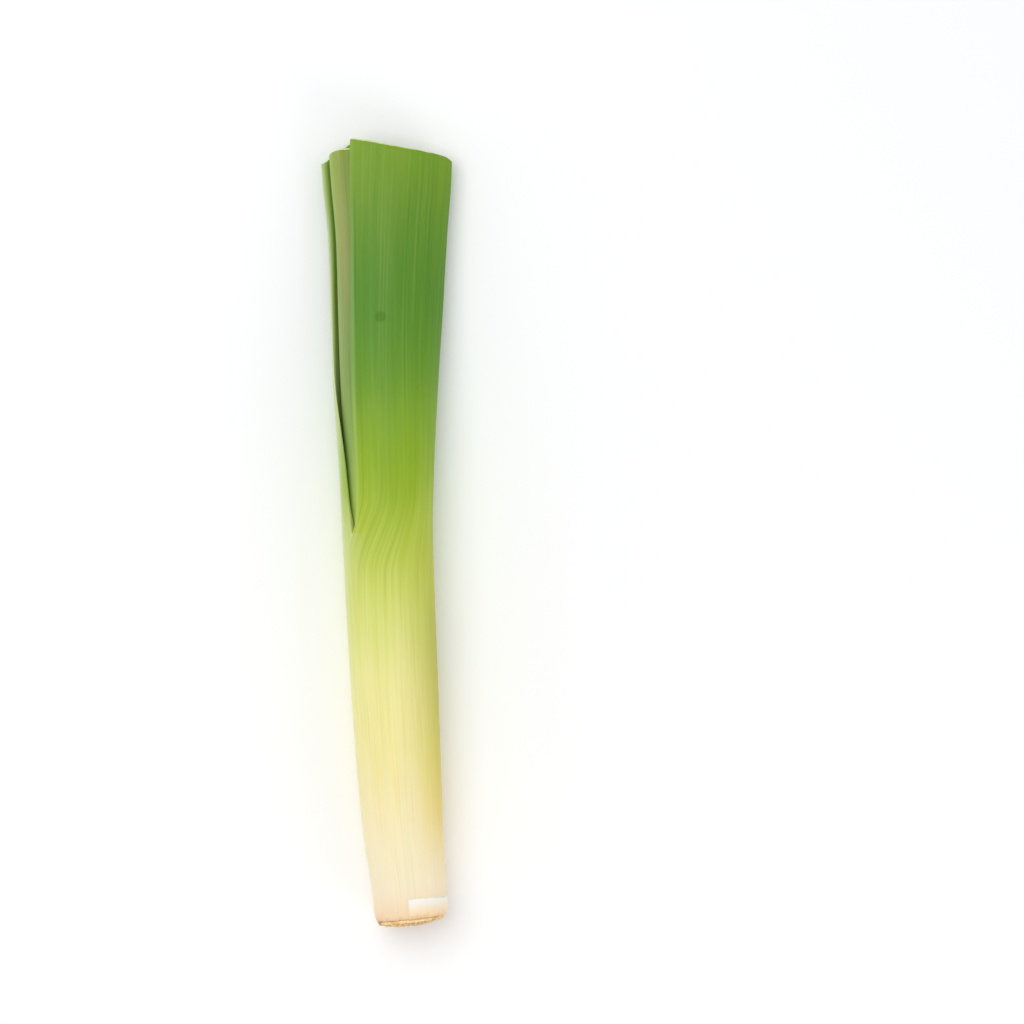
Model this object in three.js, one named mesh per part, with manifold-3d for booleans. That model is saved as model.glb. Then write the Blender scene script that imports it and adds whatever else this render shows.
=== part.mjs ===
// Leek, trimmed at the root end and cut straight across its green leaves, lying on its side.
// Millimetres. +Y runs from the root end to the leaf tips and +Z is up.
// The origin is on the surface under the middle of the leek.

import * as THREE from 'three';
import Module from 'manifold-3d';
import { ParametricGeometry } from 'three/addons/geometries/ParametricGeometry.js';
import { mergeGeometries, mergeVertices } from 'three/addons/utils/BufferGeometryUtils.js';

const wasm = await Module();
wasm.setup();

const { degToRad, lerp, smoothstep, seededRandom } = THREE.MathUtils;

// Distances along the leek are measured from its root end, and the origin is this far along.
const ORIGIN_ALONG = 137.9;

// Outline of the leek: distance along, left edge, right edge, half depth.
const OUTLINE = [
  [0, -12.9, 12.9, 12.85],
  [12, -13.1, 12.8, 12.9],
  [30, -15.4, 12.2, 13.7],
  [52, -16.95, 12.25, 14.4],
  [90, -18.55, 12.1, 15.1],
  [137, -19.4, 12.2, 15.6],
  [160, -19.95, 13.3, 14.9],
  [187, -20.95, 15.6, 12.8],
  [214, -21.15, 18.0, 10.9],
  [242, -21.5, 20.4, 9.3],
  [260, -22.7, 22.4, 8.6],
  [276, -23.4, 23.4, 8.3],
];

// The underside is pressed flat where the leek lies on the surface.
const FLAT_SHARE = 0.955;
const FLAT_HALF_ANGLE = 13;

// Above the sheaths the leaves fold to a keel at the left and the right.
const FOLD_START = 140;
const FOLD_END = 235;
const FOLD_SHARPNESS = 0.55;

// The root end is cut at a slant that fades out, and its sheaths round in.
const ROOT_SLANT = 0.085;
const SLANT_FADE_START = 9;
const SLANT_FADE_END = 48;
const ROUNDING_LENGTH = 7.5;
const ROUNDING_SHARE = 0.22;

// Root plate: a domed disc below and a cone above, on which the sheaths stand.
const PLATE_RADIUS = 11.6;
const PLATE_BOTTOM = 0.75;
const PLATE_RIM = 2.3;
const DOME_POWER = 3;
const PLATE_SHOULDER = 2.85;
const PLATE_CONE_HEIGHT = 6;
const PLATE_CONE_TOP_RADIUS = 2.6;
const PLATE_SIDES = 28;
const ROOT_STUBS = 38;
const STUB_RADIUS = 0.62;
const STUB_LENGTH = 1.9;
const STUB_SHOWS = 0.5;
const STUB_SIDES = 6;

// Leaves, from the outside in, are rolled round each other at equal steps of scale.
const LEAF_STEP = 0.135;
const LEAF_GAP = 0.3;
const SHEATH_WALL = 1.8;
const BLADE_WALL = 0.95;
const KEEL_WALL = 1.3;
const KEEL_HALF_ANGLE = 16;
const MARGIN_WALL_SHARE = 0.78;
const MARGIN_TAPER_ANGLE = 14;
const MARGIN_LIFT = 0.03;
const MARGIN_LIFT_ANGLE = 9;
const MARGIN_LIFT_START = 236;
const MARGIN_LIFT_END = 274;

// Top cut of the fan: highest a little left of the middle, lower towards both keels and dipping at them.
const TOP_PEAK_ALONG = 276.1;
const TOP_PEAK_X = -11.7;
const TOP_SLOPE_RIGHT = 0.21;
const TOP_SECTION_ALONG = 272;
const KEEL_DIP = 1.5;
const KEEL_DIP_ANGLE = 18;

// Rows of the leaf surfaces along the leek, and extra ones just above each sheath's mouth.
const ROWS = [9, 16, 28, 46, 70, 96, 120, 138, 152, 168, 184, 200, 218, 236, 254];
const MOUTH_ROWS = [0, 3, 8, 15];
const ROW_SPACE = 5;

// Each leaf's split: distance above its mouth, low side and high side opening in degrees.
const OUTER_SPLIT = [
  [0, 0, 0],
  [4, 2, 6.5],
  [10, 4.5, 10.2],
  [28, 11, 10.5],
  [40, 19, 10.5],
  [55, 32, 10.3],
  [72, 41, 10],
  [106, 43, 14],
  [139, 44, 21.5],
];
const INNER_SPLIT = [
  [0, 0, 0],
  [5, 13, 12],
  [14, 25, 22],
  [40, 38, 33],
  [130, 56, 50],
];

// Mouth: how far along it is and at which angle, counted from the right over the top.
// Cut: height of its peak over the outer leaf's, and slope down to the left.
const LEAVES = [
  { name: 'outer_leaf', along: 137.6, mouth: -219, split: OUTER_SPLIT, columns: 26, top: 0, slope: 0.72 },
  { name: 'second_leaf', along: 153, mouth: -12, split: INNER_SPLIT, columns: 22, top: -3.5, slope: 0.03 },
  { name: 'third_leaf', along: 170, mouth: -188, split: INNER_SPLIT, columns: 20, top: -4, slope: 0.05 },
  { name: 'fourth_leaf', along: 187, mouth: 6, split: INNER_SPLIT, columns: 18, top: -4.6, slope: 0.05 },
  { name: 'fifth_leaf', along: 204, mouth: -184, split: INNER_SPLIT, columns: 16, top: -4.2, slope: 0.05 },
  { name: 'sixth_leaf', along: 220, mouth: -6, split: INNER_SPLIT, columns: 14, top: -5, slope: 0.05 },
];
const HEART = { name: 'heart_leaf', columns: 12, top: -5.3, slope: 0.05 };

const LEAF_COLOURS = [0xa3bf68, 0x93a862, 0x8db35a, 0x9abd62, 0xaac96c, 0xb9d37a];
const HEART_COLOUR = 0xc8dc8c;
const ROOT_COLOUR = 0xc79a63;

// Value at a distance along a list of stations, on a smooth curve through them.
function curveAt(stations, along, item) {
  const last = stations.length - 1;
  const place = THREE.MathUtils.clamp(along, stations[0][0], stations[last][0]);
  let i = 0;
  while (i < last - 1 && place > stations[i + 1][0]) i += 1;
  const slope = (k) => {
    const from = stations[Math.max(k - 1, 0)];
    const to = stations[Math.min(k + 1, last)];
    return (to[item] - from[item]) / (to[0] - from[0]);
  };
  const start = stations[i];
  const end = stations[i + 1];
  const span = end[0] - start[0];
  const t = (place - start[0]) / span;
  const rise = end[item] - start[item];
  const a = slope(i) * span - rise;
  const b = rise - slope(i + 1) * span;
  return start[item] + t * rise + t * (1 - t) * (a * (1 - t) + b * t);
}

// Size of the leek's cross-section at a distance along it.
function sectionAt(along) {
  const left = curveAt(OUTLINE, along, 1);
  const right = curveAt(OUTLINE, along, 2);
  return {
    centre: (left + right) / 2,
    halfWidth: (right - left) / 2,
    halfDepth: curveAt(OUTLINE, along, 3),
    fold: FOLD_SHARPNESS * smoothstep(along, FOLD_START, FOLD_END),
  };
}

// Shift along the leek that gives the root end its slanted cut.
function slantAt(along, offset) {
  return ROOT_SLANT * offset * (1 - smoothstep(along, SLANT_FADE_START, SLANT_FADE_END));
}

// Share by which the sheaths round in towards the root plate.
function roundingAt(along) {
  const t = Math.max(0, 1 - along / ROUNDING_LENGTH);
  return ROUNDING_SHARE * t * t;
}

// Point on the surface of the given scale, 1 being the leek's outside.
function surfacePoint(scale, angle, along, target) {
  const { centre, halfWidth, halfDepth, fold } = sectionAt(along);
  const sine = Math.sin(angle);
  const rise = Math.max(sine * Math.abs(sine) ** fold, -FLAT_SHARE);
  const size = scale * (1 - roundingAt(along));
  const offset = size * halfWidth * Math.cos(angle);
  target.x = centre + offset;
  target.y = along - ORIGIN_ALONG + slantAt(along, offset);
  target.z = halfDepth * (FLAT_SHARE + size * rise);
}

// Distance from the section's centre to the tangent at an angle: what one unit of scale measures there.
function reachAt(angle, along) {
  const { halfWidth, halfDepth, fold } = sectionAt(along);
  const sine = Math.abs(Math.sin(angle));
  const cosine = Math.abs(Math.cos(angle));
  const across = halfWidth * sine;
  const up = halfDepth * (1 + fold) * cosine * sine ** fold;
  const area = halfWidth * halfDepth * sine ** fold * (1 + fold * cosine * cosine);
  const reach = area / Math.hypot(across, up);
  return Number.isFinite(reach) ? reach : halfWidth;
}

// Top of the root plate's cone at a radius, which the sheaths start just above.
function plateTop(radius) {
  const share = Math.max(radius, PLATE_CONE_TOP_RADIUS) / PLATE_RADIUS;
  return PLATE_SHOULDER + PLATE_CONE_HEIGHT * (1 - Math.min(share, 1));
}

// Angle in degrees between two directions, from 0 to 180.
function angleBetween(a, b) {
  return Math.abs(THREE.MathUtils.euclideanModulo(a - b + 180, 360) - 180);
}

// Where a leaf is cut off, at an angle in degrees round the surface of the given scale.
function topCut(leaf, scale, keel, degrees) {
  const { centre, halfWidth } = sectionAt(TOP_SECTION_ALONG);
  const x = centre + scale * halfWidth * Math.cos(degToRad(degrees)) - TOP_PEAK_X;
  const dip = KEEL_DIP * Math.exp(-((angleBetween(degrees, keel) / KEEL_DIP_ANGLE) ** 2));
  return TOP_PEAK_ALONG + leaf.top - dip - (x < 0 ? -leaf.slope : TOP_SLOPE_RIGHT) * x;
}

// Grid patch whose points are found by column and row number.
function patch(columns, rows, point) {
  const place = (u, v, target) => point(Math.round(u * columns), Math.round(v * rows), target);
  return new ParametricGeometry(place, columns, rows);
}

// One closed solid from patches that share their edges.
function joined(patches) {
  const geometry = mergeGeometries(patches);
  geometry.deleteAttribute('normal');
  geometry.deleteAttribute('uv');
  return mergeVertices(geometry);
}

// Leaf: a closed sheath below its mouth, and an open folded blade above it.
function leafGeometry(leaf, index) {
  const scale = 1 - LEAF_STEP * index;
  const innerLimit = scale - LEAF_STEP;
  const flat = leaf.mouth < -90 ? -90 : 270;
  const keel = index % 2 === 0 ? 0 : 180;
  const columns = leaf.columns;
  const flatStart = Math.round((columns - 2) * (flat - FLAT_HALF_ANGLE - leaf.mouth) / 334);

  const mouthRows = MOUTH_ROWS.map((step) => leaf.along + step);
  const apart = (row) => mouthRows.every((other) => Math.abs(other - row) > ROW_SPACE);
  const rows = [...ROWS.filter(apart), ...mouthRows].sort((a, b) => a - b);
  const mouthRow = rows.indexOf(leaf.along) + 1;
  const lastRow = rows.length + 2;

  // Angles of the low and high margins, which meet at and below the mouth.
  const margins = (along) => {
    const above = Math.max(0, along - leaf.along);
    const low = leaf.mouth + curveAt(leaf.split, above, 1);
    const high = leaf.mouth + 360 - curveAt(leaf.split, above, 2);
    return [low, high];
  };

  // Angle of a column, with two columns always on the edges of the flat underside.
  const columnAngle = (column, along) => {
    const [low, high] = margins(along);
    const flatEnd = flatStart + 2;
    if (column <= flatStart) return lerp(low, flat - FLAT_HALF_ANGLE, column / flatStart);
    if (column >= flatEnd) {
      return lerp(flat + FLAT_HALF_ANGLE, high, (column - flatEnd) / (columns - flatEnd));
    }
    return flat;
  };

  const wallAt = (degrees, along) => {
    const [low, high] = margins(along);
    const open = smoothstep(along, leaf.along, leaf.along + 12);
    const fan = smoothstep(along, leaf.along - 30, leaf.along + 60);
    const keelShare = Math.exp(-((angleBetween(degrees, keel) / KEEL_HALF_ANGLE) ** 2));
    const wall = lerp(SHEATH_WALL, lerp(BLADE_WALL, BLADE_WALL + KEEL_WALL, keelShare), fan);
    const fromMargin = Math.min(degrees - low, high - degrees);
    const taper = lerp(MARGIN_WALL_SHARE, 1, smoothstep(fromMargin, 0, MARGIN_TAPER_ANGLE));
    return wall * lerp(1, taper, open);
  };

  // Place of a grid point, with the last two rows closing up to the slanted top cut.
  const gridPlace = (column, row) => {
    if (row === 0) return [plateTop(PLATE_RADIUS * scale) + LEAF_GAP, columnAngle(column, 0)];
    if (row <= rows.length) return [rows[row - 1], columnAngle(column, rows[row - 1])];
    const share = (row - rows.length) / 2;
    const lastAlong = rows[rows.length - 1];
    const topAlong = topCut(leaf, scale, keel, columnAngle(column, TOP_SECTION_ALONG));
    const guide = lerp(lastAlong, TOP_SECTION_ALONG, share);
    return [lerp(lastAlong, topAlong, share), columnAngle(column, guide)];
  };

  const skinPoint = (column, row, inner, target) => {
    const [place, degrees] = gridPlace(row <= mouthRow ? column % columns : column, row);
    const angle = degToRad(degrees);
    const reach = reachAt(angle, place);
    let along = place;
    let size = scale;
    if (index === 0) {
      const lift = Math.exp(-(margins(place)[1] - degrees) / MARGIN_LIFT_ANGLE);
      size += MARGIN_LIFT * lift * smoothstep(place, MARGIN_LIFT_START, MARGIN_LIFT_END);
    }
    if (inner) {
      size = Math.max(size - wallAt(degrees, place) / reach, innerLimit + LEAF_GAP / reach);
      if (row === 0) along = plateTop(PLATE_RADIUS * size) + LEAF_GAP;
    }
    surfacePoint(size, angle, along, target);
  };

  const outer = (column, row, target) => skinPoint(column, row, false, target);
  const inner = (column, row, target) => skinPoint(column, row, true, target);
  const openRows = lastRow - mouthRow;
  return joined([
    patch(columns, lastRow, (i, j, target) => outer(columns - i, j, target)),
    patch(columns, lastRow, inner),
    patch(columns, 1, (i, j, target) => (j === 0 ? outer : inner)(i, 0, target)),
    patch(columns, 1, (i, j, target) => (j === 0 ? inner : outer)(i, lastRow, target)),
    patch(1, openRows, (i, j, target) => (i === 0 ? inner : outer)(columns, mouthRow + j, target)),
    patch(1, openRows, (i, j, target) => (i === 0 ? outer : inner)(0, mouthRow + j, target)),
  ]);
}

// Innermost leaf, still rolled up tight: a closed rod of the same section.
function heartGeometry() {
  const scale = 1 - LEAF_STEP * LEAVES.length;
  const stacks = ROWS.length;
  const geometry = new THREE.CylinderGeometry(1, 1, 1, HEART.columns, stacks);
  const position = geometry.attributes.position;
  const point = new THREE.Vector3();
  const base = plateTop(PLATE_RADIUS * scale) + LEAF_GAP;
  const stations = [base, ...ROWS];
  for (let i = 0; i < position.count; i += 1) {
    point.fromBufferAttribute(position, i);
    const angle = Math.atan2(point.z, point.x);
    const row = Math.round((point.y + 0.5) * stacks);
    const along = row === stacks ? topCut(HEART, scale, 0, THREE.MathUtils.radToDeg(angle)) : stations[row];
    surfacePoint(scale * Math.hypot(point.x, point.z), angle, along, point);
    position.setXYZ(i, point.x, point.y, point.z);
  }
  return joined([geometry]);
}

function toSolid(geometry) {
  const merged = joined([geometry]);
  const vertProperties = new Float32Array(merged.attributes.position.array);
  const triVerts = new Uint32Array(merged.index.array);
  return new wasm.Manifold(new wasm.Mesh({ numProp: 3, vertProperties, triVerts }));
}

function toGeometry(solid) {
  const mesh = solid.getMesh();
  const geometry = new THREE.BufferGeometry();
  geometry.setAttribute('position', new THREE.BufferAttribute(mesh.vertProperties, 3));
  geometry.setIndex(new THREE.BufferAttribute(mesh.triVerts, 1));
  geometry.computeVertexNormals();
  return geometry;
}

// Root plate: the short stem that carries the sheaths, with the stubs of its cut roots below.
function rootPlateGeometry() {
  const domeAt = (radius) => lerp(PLATE_BOTTOM, PLATE_RIM, (radius / PLATE_RADIUS) ** DOME_POWER);
  const profile = [0, 0.3, 0.58, 0.82, 1].map((share) => {
    const radius = share * PLATE_RADIUS;
    return new THREE.Vector2(radius, domeAt(radius));
  });
  profile.push(new THREE.Vector2(PLATE_RADIUS, PLATE_SHOULDER));
  profile.push(new THREE.Vector2(PLATE_CONE_TOP_RADIUS, plateTop(PLATE_CONE_TOP_RADIUS)));
  profile.push(new THREE.Vector2(0, plateTop(0)));
  let solid = toSolid(new THREE.LatheGeometry(profile, PLATE_SIDES));

  // Stubs at random turns on a spiral that fills the dome evenly.
  seededRandom(7);
  const goldenAngle = Math.PI * (3 - Math.sqrt(5));
  for (let i = 0; i < ROOT_STUBS; i += 1) {
    const radius = (PLATE_RADIUS - STUB_RADIUS * 2) * Math.sqrt((i + 0.6) / ROOT_STUBS);
    const turn = i * goldenAngle + (seededRandom() - 0.5) * 0.35;
    const thick = STUB_RADIUS * lerp(0.8, 1.15, seededRandom());
    const stub = new THREE.CylinderGeometry(thick, thick * 0.85, STUB_LENGTH, STUB_SIDES, 1);
    const tilt = new THREE.Vector3(Math.cos(turn), 0, Math.sin(turn)).multiplyScalar(0.02 * radius);
    stub.applyQuaternion(new THREE.Quaternion().setFromUnitVectors(
      new THREE.Vector3(0, 1, 0),
      new THREE.Vector3(-tilt.x, 1, -tilt.z).normalize(),
    ));
    const shows = STUB_SHOWS * lerp(0.4, 1, seededRandom());
    const height = domeAt(radius) - shows + STUB_LENGTH / 2;
    stub.translate(radius * Math.cos(turn), height, radius * Math.sin(turn));
    solid = solid.add(toSolid(stub));
  }

  const { centre, halfDepth } = sectionAt(0);
  const geometry = toGeometry(solid);
  geometry.applyMatrix4(new THREE.Matrix4().makeShear(ROOT_SLANT, 0, 0, 0, 0, 0));
  geometry.translate(centre, -ORIGIN_ALONG, FLAT_SHARE * halfDepth);
  return geometry;
}

function namedMesh(name, geometry, colour, roughness) {
  const mesh = new THREE.Mesh(geometry, new THREE.MeshStandardMaterial({ color: colour, roughness }));
  mesh.name = name;
  return mesh;
}

const leek = new THREE.Group();
leek.name = 'leek';
leek.add(namedMesh('root_plate', rootPlateGeometry(), ROOT_COLOUR, 0.8));
LEAVES.forEach((leaf, index) => {
  leek.add(namedMesh(leaf.name, leafGeometry(leaf, index), LEAF_COLOURS[index], 0.45));
});
leek.add(namedMesh(HEART.name, heartGeometry(), HEART_COLOUR, 0.4));

export default leek;
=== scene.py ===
"""Leek: fine leaves, root plate, materials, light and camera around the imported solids."""

import collections
import functools
import math
import random

import bmesh
import bpy
from mathutils import Matrix, Vector, noise


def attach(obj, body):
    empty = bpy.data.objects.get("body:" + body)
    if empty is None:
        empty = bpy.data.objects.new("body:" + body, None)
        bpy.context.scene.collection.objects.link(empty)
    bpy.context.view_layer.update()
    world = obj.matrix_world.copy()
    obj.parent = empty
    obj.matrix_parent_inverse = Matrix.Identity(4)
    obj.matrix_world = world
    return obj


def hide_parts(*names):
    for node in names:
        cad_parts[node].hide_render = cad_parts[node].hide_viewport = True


bl_info = {
    "name": "Leek",
    "version": (1, 0, 0),
    "blender": (4, 5, 0),
    "location": "3D View > Sidebar > Leek",
    "description": "Builds a trimmed leek with nested leaves, veins and a root plate",
    "category": "Object",
}

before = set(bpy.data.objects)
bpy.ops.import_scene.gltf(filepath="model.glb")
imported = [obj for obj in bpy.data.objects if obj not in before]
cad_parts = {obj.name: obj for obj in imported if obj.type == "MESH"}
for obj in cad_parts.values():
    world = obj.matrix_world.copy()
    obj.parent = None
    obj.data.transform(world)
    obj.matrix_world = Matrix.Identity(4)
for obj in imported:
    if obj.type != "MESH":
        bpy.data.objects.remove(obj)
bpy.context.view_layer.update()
MM = 0.001

# Outline of the leek in millimetres: distance along, left edge, right edge, half depth.
OUTLINE = [
    (0, -12.9, 12.9, 12.85),
    (12, -13.1, 12.8, 12.9),
    (30, -15.4, 12.2, 13.7),
    (52, -16.95, 12.25, 14.4),
    (90, -18.55, 12.1, 15.1),
    (137, -19.4, 12.2, 15.6),
    (160, -19.95, 13.3, 14.9),
    (187, -20.95, 15.6, 12.8),
    (214, -21.15, 18.0, 10.9),
    (242, -21.5, 20.4, 9.3),
    (260, -22.7, 22.4, 8.6),
    (276, -23.4, 23.4, 8.3),
]
LENGTH = 276
ORIGIN_ALONG = 137.9

# The underside is pressed flat, and the fan folds to keels above the sheaths.
FLAT_SHARE = 0.955
FOLD_START = 140
FOLD_END = 235
FOLD_SHARPNESS = 0.55

# Root end: slanted cut, sheaths rounding in, domed plate with a cone inside. The height of the
# plate's middle is in metres.
ROOT_SLANT = 0.085
SLANT_FADE_START = 9
SLANT_FADE_END = 48
ROUNDING_LENGTH = 7.5
ROUNDING_SHARE = 0.22
PLATE_RADIUS = 11.6
PLATE_BOTTOM = 0.75
PLATE_RIM = 2.3
PLATE_SHOULDER = 2.85
PLATE_HEIGHT = 0.0123
PLATE_CONE_HEIGHT = 6
PLATE_CONE_TOP_RADIUS = 2.6
DOME_POWER = 3

# Uneven growth: waves round and along the leek, and shares by which sheaths and fan swell.
SWELL_ROUND = 1.1
SWELL_LENGTH = 55
SWELL_SHARES = (0.012, 0.03)

# Leaves are rolled round each other at equal steps of scale.
LEAF_STEP = 0.135
LEAF_GAP = 0.3
SHEATH_WALL = 1.8
BLADE_WALL = 0.95
KEEL_WALL = 1.3
KEEL_HALF_ANGLE = 16
MARGIN_WALL_SHARE = 0.5
MARGIN_TAPER_ANGLE = 14
MARGIN_LIFT = 0.03
MARGIN_LIFT_ANGLE = 9
MARGIN_LIFT_START = 236
MARGIN_LIFT_END = 274
CUT_SLANT = 0.55
RIM_ROUNDING = 0.14
SAME_POINT = 1e-7

# A leaf opens over a length above its mouth, and its wall thins from below the mouth to above it.
OPENING_LENGTH = 12
THINNING_BELOW = 30
THINNING_ABOVE = 60

# Rows of a leaf's grid: ends of its closer stretches, rows in each stretch from the root end on,
# step between rows of the blade, and rows at the cut.
ROOT_STRETCH = 15
BELOW_MOUTH = 12
ABOVE_MOUTH = 24
STRETCH_ROWS = (14, 30, 26, 24)
BLADE_STEP = 3.2
CUT_ROWS = 9

# Ragged cut and base of a leaf: height, and waves across it.
CUT_RAGGED = 0.16
CUT_WAVES = 40
BASE_RAGGED = 0.4
BASE_WAVES = 70

# Relief of the skin: patches of stronger veins and soft waves, by their number across a leaf and
# their length. It fades out at the pressed underside, in degrees, and at the root end.
VEIN_PATCHES = 31
VEIN_PATCH_LENGTH = 70
SOFT_WAVES = 9
SOFT_WAVE_LENGTH = 45
SOFT_WAVE_HEIGHT = 0.05
UNDERSIDE_FADE = (12, 35)
ROOT_FADE = (3, 9)

# Top cut of the fan, which dips at each leaf's keel.
TOP_PEAK_ALONG = 276.1
TOP_PEAK_X = -11.7
TOP_SLOPE_RIGHT = 0.21
TOP_SECTION_ALONG = 272
TOP_ROWS_START = 250
KEEL_DIP = 1.5
KEEL_DIP_ANGLE = 18

# Leaf splits: distance above the mouth, low side and high side opening in degrees.
OUTER_SPLIT = [
    (0, 0, 0),
    (4, 2, 6.5),
    (10, 4.5, 10.2),
    (28, 11, 10.5),
    (40, 19, 10.5),
    (55, 32, 10.3),
    (72, 41, 10),
    (106, 43, 14),
    (139, 44, 21.5),
]
INNER_SPLIT = [(0, 0, 0), (5, 13, 12), (14, 25, 22), (40, 38, 33), (130, 56, 50)]

# The veins part more slowly than the margins: they start to below the mouth.
OUTER_GRAIN = [
    (-38, 0, 0),
    (-14, 1, 2.5),
    (0, 3.5, 8),
    (14, 7, 13),
    (28, 12, 14),
    (40, 20, 14),
    (55, 32, 14),
    (72, 41, 14),
    (106, 43, 16),
    (139, 44, 21.5),
]
INNER_GRAIN = [(-30, 0, 0), (0, 5, 5), (14, 22, 19), (40, 38, 33), (130, 56, 50)]

# Name, mouth distance, mouth angle, split, grain, cut height, cut slope, columns, material slot.
LEAVES = [
    ("outer_leaf", 137.6, -219, OUTER_SPLIT, OUTER_GRAIN, 0.0, 0.72, 256, "outer_leaf"),
    ("second_leaf", 153, -12, INNER_SPLIT, INNER_GRAIN, -3.5, 0.03, 200, "second_leaf"),
    ("third_leaf", 170, -188, INNER_SPLIT, INNER_GRAIN, -4.0, 0.05, 144, "inner_leaf"),
    ("fourth_leaf", 187, 6, INNER_SPLIT, INNER_GRAIN, -4.6, 0.05, 128, "inner_leaf"),
    ("fifth_leaf", 204, -184, INNER_SPLIT, INNER_GRAIN, -4.2, 0.05, 112, "inner_leaf"),
    ("sixth_leaf", 220, -6, INNER_SPLIT, INNER_GRAIN, -5.0, 0.05, 96, "inner_leaf"),
]

# Name, cut height, cut slope and columns of the heart leaf, its rows, and its slight ribs.
HEART = ("heart_leaf", -5.3, 0.05, 64)
HEART_ROWS = 70
HEART_RIBS = 12
HEART_RIB_SHARE = 0.01

# Rings in the heart's cut, in metres: their width, and the height of each from the outside in.
HEART_RING_WIDTH = 0.0006
HEART_RING_HEIGHTS = (0.0002, -0.0003, 0.0003, -0.0002)

# Shares across a leaf of its keel, and of the painted highlight down the left and the painted shade down the
# right side of the outer sheath.
OUTER_KEEL = 0.58
INNER_KEEL = 0.535
LEFT_SHARE = 0.108
RIGHT_SHARE = 0.608

# Veins fan out to the right above the mouth: shares along and across between which they turn, and
# the share that they turn by.
FAN_ALONG = (0.45, 0.55)
FAN_ACROSS = (0.62, 0.92)
FAN_TURN = 0.075

# Rubbed spot on the blade, in metres.
SPOT_PLACE = (-0.0035, 0.0755, 0.0213)
SPOT_RADIUS = 0.0024

# Pale crease that runs down from the mouth: its length, its turn and width in degrees, its height,
# and the shares of its length that it starts above the mouth and keeps its full strength below it.
CREASE_LENGTH = 8.5
CREASE_TURN = 23
CREASE_WIDTH = 2.4
CREASE_HEIGHT = 0.12
CREASE_ABOVE = 0.3
CREASE_FULL = 0.3

# Pale patch beside the mouth: its turn from the mouth and its width in degrees, its share, and how
# many lengths of the crease it reaches above the mouth and fades over below it.
PATCH_TURN = 14
PATCH_WIDTH = 22
PATCH_SHARE = 0.65
PATCH_ABOVE = 2.5
PATCH_FADE = (0.5, 4)

# Remnant of a peeled sheath at the root end: columns and rows, angles, height of its top, and how
# far that slopes, is ragged and drops over its last degrees.
TORN_GRID = (150, 16)
TORN_ANGLES = (-62, 92)
TORN_TOP = 10.4
TORN_SLOPE = 1.1
TORN_RAGGED = 0.7
TORN_RAGGED_TURN = 16
TORN_FRAYED_TURN = 3.2
TORN_FRAYED_SHARE = 0.3
TORN_DROP = 5.5
TORN_DROP_TURN = 60

# Its base over the plate's shoulder, how far it stands proud of the leaf, and its wall.
TORN_BASE = 0.15
TORN_BASE_RAGGED = 0.3
TORN_BASE_TURN = 4
TORN_PROUD = 0.34
TORN_THINNING = 0.6
TORN_WALL = 0.22
AXIS_POINT = Vector((0, -0.13, PLATE_HEIGHT))

# Rough face and ragged rim of the root plate.
PLATE_RINGS = 14
PLATE_RING_POWER = 0.8
PLATE_STEPS = 120
PLATE_ROUGH = 0.16
PLATE_ROUGH_SCALE = 0.8
PLATE_RAGGED_START = 9
PLATE_RAGGED_WAVES = 9
PLATE_RAGGED_HEIGHT = 0.12
PLATE_RAGGED_WIDTH = 0.3

# Stubs of the trimmed roots. They show most in the middle of the plate, and less at its rim.
STUB_SEED = 11
STUB_GAP = 0.5
STUB_TURN = 0.2
STUB_RADIUS = (0.26, 0.52)
STUB_SHOWS_LEAST = 0.05
STUB_SHOWS_MOST = (0.75, 0.4)
STUB_ROOTED = 0.6
STUB_LEAN = 0.05
STUB_TAPER = 0.85
STUB_SIDES = 10
STUB_DIMPLE_SHARE = 0.25
STUB_DIMPLE_DEPTH = 0.06

# Photograph frame: millimetres to a pixel, and the leek's axis in it, from root end to cut.
FRAME_PIXELS = 1024
MM_PER_PIXEL = 0.35
AXIS_TOP_PIXEL = (385.5, 150)
AXIS_BOTTOM_PIXEL = (411, 915)
SILHOUETTE_HEIGHT = 13

# Studio, in metres: half the floor's width, tint of the sky, and place and width of each light.
FLOOR_REACH = 3.0
SKY_TINT = (0.97, 0.985, 1.0, 1)
KEY_LIGHT = ((-0.35, 0.3, 1.3), 1.3)
SIDE_LIGHT = ((-1.2, 0.0, 0.4), 0.7)
ROOT_LIGHT = ((0.6, -0.65, 0.45), 0.5)
SENSOR_WIDTH = 36
VIEW_REACH = 20


def shade(code):
    """Linear colour from a six-figure colour code."""
    parts = [int(code[i:i + 2], 16) / 255 for i in (0, 2, 4)]
    return tuple(p / 12.92 if p <= 0.04045 else ((p + 0.055) / 1.055) ** 2.4 for p in parts)


def smoothstep(value, low, high):
    t = min(max((value - low) / (high - low), 0), 1)
    return t * t * (3 - 2 * t)


def lerp(a, b, t):
    return a + (b - a) * t


def curve_at(stations, along, item):
    """Value at a distance along a list of stations, on a smooth curve through them."""
    last = len(stations) - 1
    place = min(max(along, stations[0][0]), stations[last][0])
    i = 0
    while i < last - 1 and place > stations[i + 1][0]:
        i += 1

    def slope(k):
        low, high = stations[max(k - 1, 0)], stations[min(k + 1, last)]
        return (high[item] - low[item]) / (high[0] - low[0])

    start, end = stations[i], stations[i + 1]
    span = end[0] - start[0]
    t = (place - start[0]) / span
    rise = end[item] - start[item]
    a = slope(i) * span - rise
    b = rise - slope(i + 1) * span
    return start[item] + t * rise + t * (1 - t) * (a * (1 - t) + b * t)


@functools.cache
def section_at(along):
    """Centre, half width, half depth and fold of the leek's cross-section."""
    left, right = curve_at(OUTLINE, along, 1), curve_at(OUTLINE, along, 2)
    fold = FOLD_SHARPNESS * smoothstep(along, FOLD_START, FOLD_END)
    return (left + right) / 2, (right - left) / 2, curve_at(OUTLINE, along, 3), fold


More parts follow.
